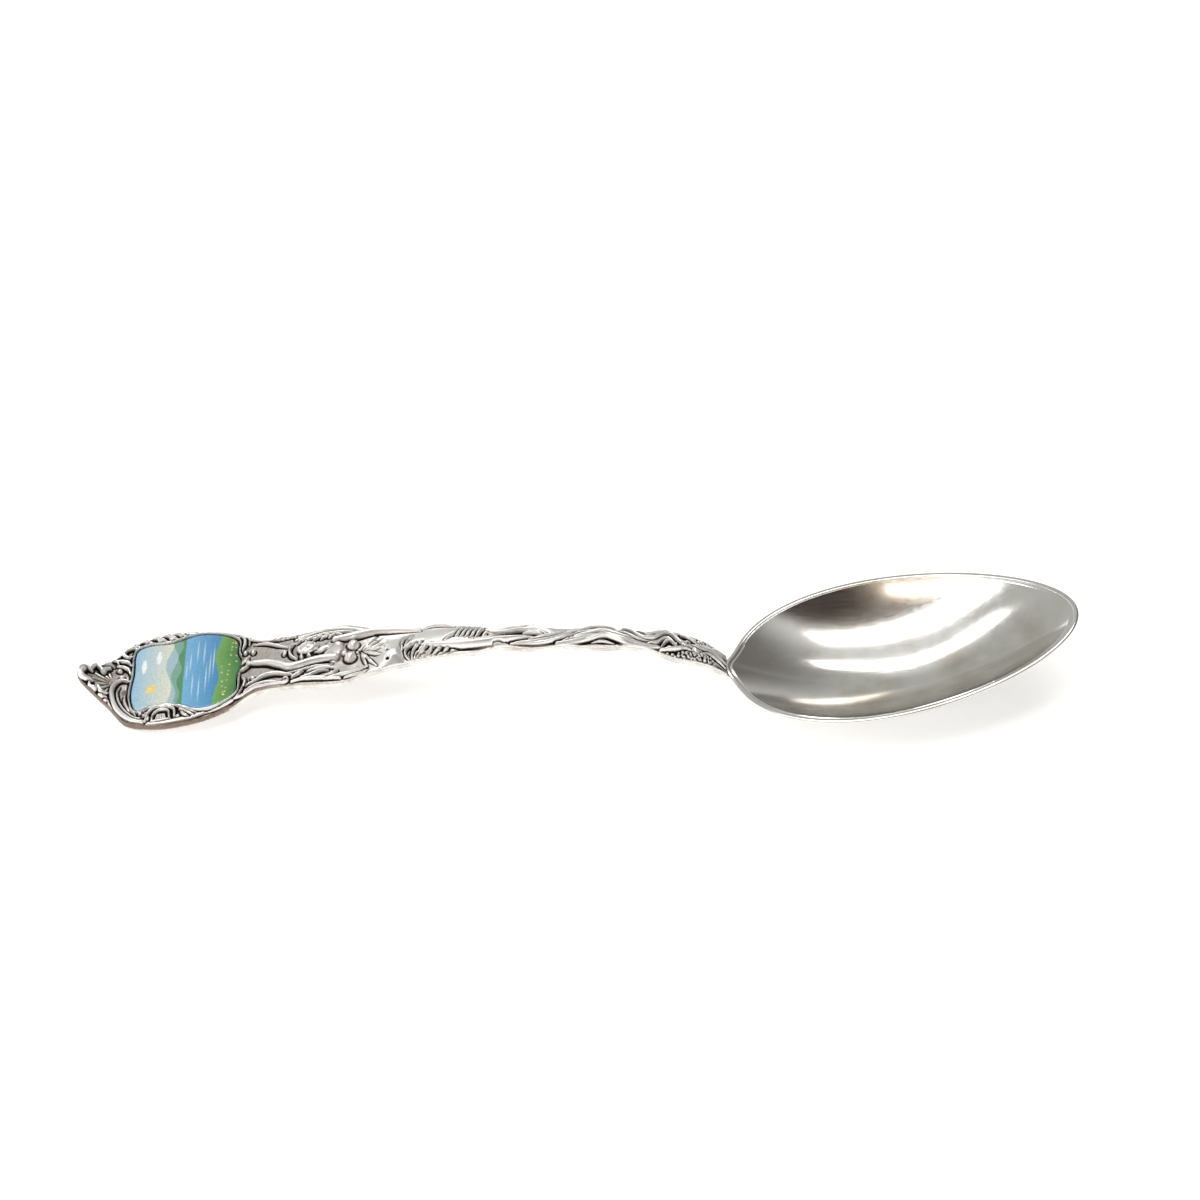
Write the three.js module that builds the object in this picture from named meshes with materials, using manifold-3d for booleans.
// A souvenir spoon of struck silver with an enamelled cartouche at the end of its handle.
// Millimetres, +Z up. +X runs along the spoon from the finial to the tip of the bowl, and Y runs
// across it. The origin is on the surface that the spoon rests on, under the middle of its box.
// Along the handle, "reach" is the distance from the heel of the bowl towards the finial.
import * as THREE from "three";
import { mergeVertices } from "three/addons/utils/BufferGeometryUtils.js";
import Module from "manifold-3d";

// ---- Driving dimensions ----
const handleLength = 97.9; // finial tip to bowl heel
const bowlLength = 51.0; // bowl heel to bowl tip, seen from above
const bowlHalfWidth = 14.85;
const bowlEggness = 0.15; // how much wider the heel half is than the tip half
const bowlWall = 0.8;
const rimHeelHeight = 4.2;
const rimTipHeight = 16.05;
const rimSag = 0.58; // the rim dips this much below a straight line at half length
const lowestShare = 0.4; // where the bowl touches the table, as a share of its length
const wornShare = 0.12; // size of the worn flat there, as a share of the bowl
const bowlCurve = 2.1; // 2 gives a parabola from the flat to the rim
const plateThickness = 1.0;
const gap = 0.12; // between silver pieces that meet face to face

// Back of the handle: reach, height above the table, slope. It is straight behind the cartouche.
const cartoucheSlope = -3 / 14;
const backLine = [
  [0, 3.1, 0.9],
  [4, 6.2, 0.5],
  [9, 8.0, 0.24],
  [16, 9.4, 0.1],
  [28, 9.65, 0],
  [38, 9.4, -0.08],
  [50, 7.85, -0.17],
  [62, 5.75, -0.18],
  [75, 3.3, cartoucheSlope],
  [89, 0.3, cartoucheSlope],
  [91.4, 0, 0],
  [handleLength, 2.6, 0.55],
];

// Half width of the handle: reach, half width.
const widthLine = [
  [0, 1.9],
  [6, 2.6],
  [9, 2.75],
  [12.5, 1.8],
  [16, 1.7],
  [21, 2.2],
  [25, 1.7],
  [30, 2.3],
  [34, 1.9],
  [38, 2.6],
  [44, 3.1],
  [50, 4.0],
  [54, 4.7],
  [58, 6.0],
  [62, 5.7],
  [65, 5.3],
  [71, 5.5],
  [74, 7.3],
  [77, 8.65],
  [80.5, 9.45],
  [84.5, 9.7],
  [88, 9.1],
  [90.5, 8.0],
  [93, 4.9],
  [95, 3.1],
  [97, 1.5],
  [handleLength, 0.4],
];

// Middle of the handle: reach, distance across. The cartouche leans a little to the near side.
const middleLine = [
  [0, 0],
  [68, 0],
  [74, -0.25],
  [78, -0.35],
  [84, -0.2],
  [90, 0],
  [handleLength, 0],
];

// Edge of the enamel: reach, distance across. It is smoothed through these points.
const enamelEdge = [
  [89.5, 6.5],
  [87.6, 7.3],
  [84.4, 7.1],
  [80.0, 8.0],
  [75.7, 6.7],
  [74.0, 5.0],
  [74.0, 2.9],
  [73.3, 0.4],
  [73.9, -2.1],
  [74.0, -5.4],
  [76.2, -7.5],
  [79.4, -7.9],
  [82.4, -6.4],
  [85.8, -5.6],
  [88.7, -6.5],
  [89.9, -3.6],
  [89.7, 1.6],
];
const enamelClearance = 0.3;
const groundThickness = 0.45;
const paintingThickness = 0.35;
const frameHeight = 1.25;

// ---- Silver and enamel ----
const silver = { color: 0xb9b7b2, roughness: 0.3, metalness: 1 };
const materials = {
  satin: new THREE.MeshStandardMaterial({ ...silver, color: 0xc4c4c4 }),
  struck: new THREE.MeshStandardMaterial({ ...silver, roughness: 0.4 }),
  darkened: new THREE.MeshStandardMaterial({ ...silver, color: 0x8b857d, roughness: 0.45 }),
  ground: new THREE.MeshStandardMaterial({ color: 0xdfe3e6, roughness: 0.25, metalness: 0 }),
  painting: new THREE.MeshStandardMaterial({ color: 0x9fc6dd, roughness: 0.12, metalness: 0 }),
};

// ---- Curves that give a size along the spoon ----
const heelX = (handleLength - bowlLength) / 2;
const alongX = (reach) => heelX - reach;

function intervalOf(knots, at) {
  let i = 0;
  while (i < knots.length - 2 && at > knots[i + 1][0]) i += 1;
  return i;
}

function hermite(a, b, at) {
  const span = b[0] - a[0];
  const t = THREE.MathUtils.clamp((at - a[0]) / span, 0, 1);
  const swing = t * (1 - t);
  const blend = t * t * (3 - 2 * t);
  return a[1] + (b[1] - a[1]) * blend + span * swing * (a[2] * (1 - t) - b[2] * t);
}

function withSlopes(knots) {
  return knots.map(([at, value], i) => {
    const before = knots[Math.max(i - 1, 0)];
    const after = knots[Math.min(i + 1, knots.length - 1)];
    return [at, value, (after[1] - before[1]) / (after[0] - before[0])];
  });
}

const widthKnots = withSlopes(widthLine);
const middleKnots = withSlopes(middleLine);

function valueOf(knots, at) {
  const i = intervalOf(knots, at);
  return hermite(knots[i], knots[i + 1], at);
}

const backHeight = (reach) => valueOf(backLine, reach);
const plateTop = (reach) => backHeight(reach) + plateThickness;
const halfWidth = (reach) => valueOf(widthKnots, reach);
const middleAt = (reach) => valueOf(middleKnots, reach);

// ---- Closed meshes ----
function closedGeometry(points, triangles) {
  const geometry = new THREE.BufferGeometry();
  const corners = points.map((p) => new THREE.Vector3(...p));
  let volume = 0;
  for (const [a, b, c] of triangles) {
    volume += corners[a].dot(new THREE.Vector3().crossVectors(corners[b], corners[c]));
  }
  const facing = volume < 0 ? triangles.map(([a, b, c]) => [a, c, b]) : triangles;
  geometry.setAttribute("position", new THREE.Float32BufferAttribute(points.flat(), 3));
  geometry.setIndex(facing.flat());
  geometry.computeVertexNormals();
  return geometry;
}

// Joins rings of equally many points into a skin, ring after ring.
function skin(triangles, firstRing, secondRing, count) {
  for (let k = 0; k < count; k += 1) {
    const next = (k + 1) % count;
    triangles.push([firstRing + k, firstRing + next, secondRing + next]);
    triangles.push([firstRing + k, secondRing + next, secondRing + k]);
  }
}

// A body through convex sections, each with the same number of points, with flat ends.
function loft(sections) {
  const count = sections[0].length;
  const triangles = [];
  for (let i = 0; i < sections.length - 1; i += 1) {
    skin(triangles, i * count, (i + 1) * count, count);
  }
  const last = (sections.length - 1) * count;
  for (let k = 1; k < count - 1; k += 1) {
    triangles.push([0, k + 1, k]);
    triangles.push([last, last + k, last + k + 1]);
  }
  return closedGeometry(sections.flat(), triangles);
}

function stations(from, to, step) {
  const count = Math.max(2, Math.round(Math.abs(to - from) / step));
  return Array.from({ length: count + 1 }, (_, i) => from + ((to - from) * i) / count);
}

// A flat-backed body with a rounded top, between two reaches of the handle.
const domeSteps = 6;
const domeFoot = 0.4; // share of the height that stands upright at the edge

function reliefBody({ from, to, step, middle, half, height }) {
  const sections = stations(from, to, step).map((reach) => {
    const x = alongX(reach);
    const base = plateTop(reach) + gap;
    const [mid, wide, high] = [middle(reach), half(reach), height(reach)];
    const section = [
      [x, mid - wide, base],
      [x, mid + wide, base],
    ];
    for (let k = 0; k <= domeSteps; k += 1) {
      const turn = (k / domeSteps) * Math.PI;
      const rise = domeFoot + (1 - domeFoot) * Math.sin(turn);
      section.push([x, mid + wide * Math.cos(turn), base + high * rise]);
    }
    return section;
  });
  return loft(sections);
}

// ---- Bowl ----
const bowlSides = 44;
const bowlRings = 8;
const lowestX = heelX + bowlLength * lowestShare;
const shareAt = (turn) => (1 - Math.cos(turn)) / 2;

function rimPoint(turn, inset) {
  const outline = (a) => [
    heelX + bowlLength * shareAt(a),
    bowlHalfWidth * Math.sin(a) * (1 + bowlEggness * Math.cos(a)),
  ];
  const [x, y] = outline(turn);
  const [beforeX, beforeY] = outline(turn - 0.01);
  const [afterX, afterY] = outline(turn + 0.01);
  const length = Math.hypot(afterX - beforeX, afterY - beforeY);
  const inwardX = (afterY - beforeY) / length;
  const inwardY = -(afterX - beforeX) / length;
  return [x + inwardX * inset, y + inwardY * inset];
}

function rimHeight(turn) {
  const share = shareAt(turn);
  const straight = THREE.MathUtils.lerp(rimHeelHeight, rimTipHeight, share);
  return straight - rimSag * 4 * share * (1 - share);
}

function bowlRise(ring) {
  return Math.max(0, (ring - wornShare) / (1 - wornShare)) ** bowlCurve;
}

function bowlPoint(ring, turn, inset, floor) {
  const [edgeX, edgeY] = rimPoint(turn, inset);
  const x = lowestX + (edgeX - lowestX) * ring;
  return [x, edgeY * ring, floor + (rimHeight(turn) - floor) * bowlRise(ring)];
}

function makeBowl() {
  const turns = Array.from({ length: bowlSides }, (_, k) => (k / bowlSides) * 2 * Math.PI);
  const shares = stations(wornShare, 1, (1 - wornShare) / bowlRings);
  const outside = shares.map((ring) => turns.map((turn) => bowlPoint(ring, turn, 0, 0)));
  const inside = shares.map((ring) => turns.map((turn) => bowlPoint(ring, turn, bowlWall, bowlWall)));
  const rings = [...outside, ...inside.reverse()];
  const points = rings.flat();
  const triangles = [];
  for (let i = 0; i < rings.length - 1; i += 1) {
    skin(triangles, i * bowlSides, (i + 1) * bowlSides, bowlSides);
  }
  const under = points.push([lowestX, 0, 0]) - 1;
  const above = points.push([lowestX, 0, bowlWall]) - 1;
  const lastRing = (rings.length - 1) * bowlSides;
  for (let k = 0; k < bowlSides; k += 1) {
    const next = (k + 1) % bowlSides;
    triangles.push([under, next, k]);
    triangles.push([above, lastRing + k, lastRing + next]);
  }
  return closedGeometry(points, triangles);
}

// A tapering tongue under the heel of the bowl, which carries the handle's pull into it.
const dropLength = 8;
const dropHalfWidth = 2.3;
const dropThickness = 0.9;

function makeDrop() {
  const heelTurn = 0;
  const sections = stations(0, dropLength, 1).map((under) => {
    const ring = 1 - under / (lowestX - heelX);
    const top = rimHeight(heelTurn) * bowlRise(ring) - gap - 0.1;
    const taper = Math.sqrt(1 - (under / (dropLength + 0.4)) ** 2);
    const wide = dropHalfWidth * taper;
    const x = heelX + under;
    const bottom = top - dropThickness * taper;
    return [
      [x, -wide, top],
      [x, -wide * 0.6, bottom],
      [x, wide * 0.6, bottom],
      [x, wide, top],
    ];
  });
  return loft(sections);
}

// ---- Handle ----
function makePlate() {
  const stops = [...stations(0.3, 89, 1.5), ...stations(90, handleLength, 0.8)];
  const sections = stops.map((reach) => {
    const near = middleAt(reach) - halfWidth(reach);
    const far = middleAt(reach) + halfWidth(reach);
    const x = alongX(reach);
    return [
      [x, near, backHeight(reach)],
      [x, far, backHeight(reach)],
      [x, far, plateTop(reach)],
      [x, near, plateTop(reach)],
    ];
  });
  return loft(sections);
}

const reliefInset = 0.2; // the relief stands back this far from the plate's edge
const onMiddle = () => 0;
const toTheEdge = (reach) => halfWidth(reach) - reliefInset;

function makeCollar() {
  return reliefBody({
    from: 0.6,
    to: 10.8,
    step: 0.9,
    middle: onMiddle,
    half: toTheEdge,
    height: (reach) => 1.1 + 0.25 * Math.sin(reach * 1.9),
  });
}

function makeTwistedStem() {
  return reliefBody({
    from: 11.1,
    to: 33.6,
    step: 0.9,
    middle: (reach) => 0.25 * Math.sin((reach - 11) * 0.55),
    half: (reach) => toTheEdge(reach) - 0.25,
    height: (reach) => 1.15 + 0.15 * Math.cos((reach - 11) * 1.1),
  });
}

const scrollsFrom = 54.5;
const scrollsTo = 72.2;
const scrollHalfWidth = 1.05;

function makeScrolls(side) {
  return reliefBody({
    from: scrollsFrom,
    to: scrollsTo,
    step: 1.1,
    middle: (reach) => side * (toTheEdge(reach) - scrollHalfWidth),
    half: () => scrollHalfWidth,
    height: (reach) => 1.0 + 0.2 * Math.cos((reach - scrollsFrom) * 0.7),
  });
}

// ---- Nymph: a draped body, a head and the arm that she raises to the cartouche ----
const figureFrom = 33.9;
const figureTo = 60.4;
const headReach = 63.4;
const headAcross = 1.4;
const headSize = [1.75, 1.25, 1.3]; // half sizes along, across and up
const neckReach = 61.2;
const neckLength = 3.4;
const neckRadius = 0.75;
const neckLift = 1.2; // centre of the neck above the plate
const armRadius = 0.55;
const armRoute = [
  [59.5, -1.0],
  [63.0, -1.2],
  [66.5, -1.5],
  [69.5, -0.5],
  [71.6, 0.1],
];

const wasm = await Module();
wasm.setup();

function toSolid(geometry) {
  const bare = geometry.clone();
  for (const name of ["normal", "uv"]) bare.deleteAttribute(name);
  const merged = mergeVertices(bare, 1e-4);
  const mesh = new wasm.Mesh({
    numProp: 3,
    vertProperties: new Float32Array(merged.attributes.position.array),
    triVerts: new Uint32Array(merged.index.array),
  });
  return new wasm.Manifold(mesh);
}

function toGeometry(solid) {
  const { vertProperties, triVerts } = solid.getMesh();
  const geometry = new THREE.BufferGeometry();
  geometry.setAttribute("position", new THREE.Float32BufferAttribute(vertProperties, 3));
  geometry.setIndex(Array.from(triVerts));
  geometry.computeVertexNormals();
  return geometry;
}

function figureHalfWidth(reach) {
  const room = reach > scrollsFrom - 1 ? 2 * scrollHalfWidth + gap : 0;
  return toTheEdge(reach) - room;
}

function makeNymph() {
  const body = reliefBody({
    from: figureFrom,
    to: figureTo,
    step: 1.0,
    middle: onMiddle,
    half: figureHalfWidth,
    height: (reach) => THREE.MathUtils.lerp(1.1, 1.75, (reach - figureFrom) / 20),
  });
  const head = new THREE.SphereGeometry(1, 20, 12);
  head.scale(...headSize);
  head.translate(alongX(headReach), headAcross, plateTop(headReach) + gap + headSize[2] * 0.9);
  const neck = new THREE.CylinderGeometry(neckRadius, neckRadius, neckLength, 12);
  neck.rotateZ(Math.PI / 2);
  neck.translate(alongX(neckReach), headAcross * 0.8, plateTop(neckReach) + gap + neckLift);
  const route = armRoute.map(
    ([reach, across]) =>
      new THREE.Vector3(alongX(reach), across, plateTop(reach) + gap + armRadius + 0.15),
  );
  const armSection = new THREE.Shape().absarc(0, 0, armRadius, 0, 2 * Math.PI);
  const arm = new THREE.ExtrudeGeometry(armSection, {
    extrudePath: new THREE.CatmullRomCurve3(route),
    steps: 16,
    curveSegments: 8,
  });
  const solid = toSolid(body).add(toSolid(head)).add(toSolid(neck)).add(toSolid(arm));
  return toGeometry(solid);
}

// ---- Cartouche: frame, finial and enamel ----
// Lowers a shape drawn as (x, across) and extruded upwards onto the top of the plate.
function drape(geometry, lift) {
  const place = geometry.attributes.position;
  for (let i = 0; i < place.count; i += 1) {
    place.setZ(i, place.getZ(i) + plateTop(heelX - place.getX(i)) + lift);
  }
  geometry.computeVertexNormals();
  return geometry;
}

// The enamel's edge moved outwards by grow, as points for a shape.
function enamelOutline(grow) {
  const knots = enamelEdge.map(([reach, across]) => new THREE.Vector3(alongX(reach), across, 0));
  const curve = new THREE.CatmullRomCurve3(knots, true, "centripetal");
  const count = enamelEdge.length * 3;
  return Array.from({ length: count }, (_, i) => {
    const here = curve.getPoint(i / count);
    const along = curve.getTangent(i / count);
    return new THREE.Vector2(here.x + along.y * grow, here.y - along.x * grow);
  });
}

function windsLeft(points) {
  return THREE.ShapeUtils.area(points) > 0;
}

function extrudeUp(shape, depth) {
  return new THREE.ExtrudeGeometry(shape, { depth, bevelEnabled: false, steps: 1 });
}

const enamelTurn = windsLeft(enamelOutline(0)) ? 1 : -1;

function makeFrame() {
  const reaches = stations(72.5, 92.9, 0.85);
  const edge = (reach, side) => middleAt(reach) + side * toTheEdge(reach);
  const far = reaches.map((reach) => new THREE.Vector2(alongX(reach), edge(reach, 1)));
  const near = reaches.map((reach) => new THREE.Vector2(alongX(reach), edge(reach, -1)));
  const frame = new THREE.Shape([...far, ...near.reverse()]);
  const opening = enamelOutline(enamelClearance * enamelTurn);
  const bite = new THREE.Shape(opening);
  const ring = toSolid(extrudeUp(frame, frameHeight));
  const hole = extrudeUp(bite, frameHeight + 2);
  hole.translate(0, 0, -1);
  return drape(toGeometry(ring.subtract(toSolid(hole))), gap);
}

function makeEnamel(thickness, lift, grow) {
  const coat = extrudeUp(new THREE.Shape(enamelOutline(grow * enamelTurn)), thickness);
  return drape(coat, lift);
}

function makeFinial() {
  return reliefBody({
    from: 93.2,
    to: handleLength - 0.2,
    step: 0.7,
    middle: onMiddle,
    half: (reach) => Math.max(0.3, toTheEdge(reach)),
    height: (reach) => 1.2 + 0.2 * Math.sin((reach - 93) * 2.2),
  });
}

// ---- The spoon ----
const spoon = new THREE.Group();

function add(name, geometry, material) {
  const piece = new THREE.Mesh(geometry, material);
  piece.name = name;
  spoon.add(piece);
}

add("bowl", makeBowl(), materials.satin);
add("bowl_drop", makeDrop(), materials.satin);
add("handle_plate", makePlate(), materials.struck);
add("blossom_collar", makeCollar(), materials.darkened);
add("twisted_stem", makeTwistedStem(), materials.struck);
add("nymph_figure", makeNymph(), materials.struck);
add("near_scrolls", makeScrolls(-1), materials.darkened);
add("far_scrolls", makeScrolls(1), materials.darkened);
add("cartouche_frame", makeFrame(), materials.struck);
add("finial_shell", makeFinial(), materials.darkened);
add("enamel_ground", makeEnamel(groundThickness, gap, 0), materials.ground);
add(
  "enamel_painting",
  makeEnamel(paintingThickness, gap + groundThickness + 0.03, -0.15),
  materials.painting,
);

export default spoon;
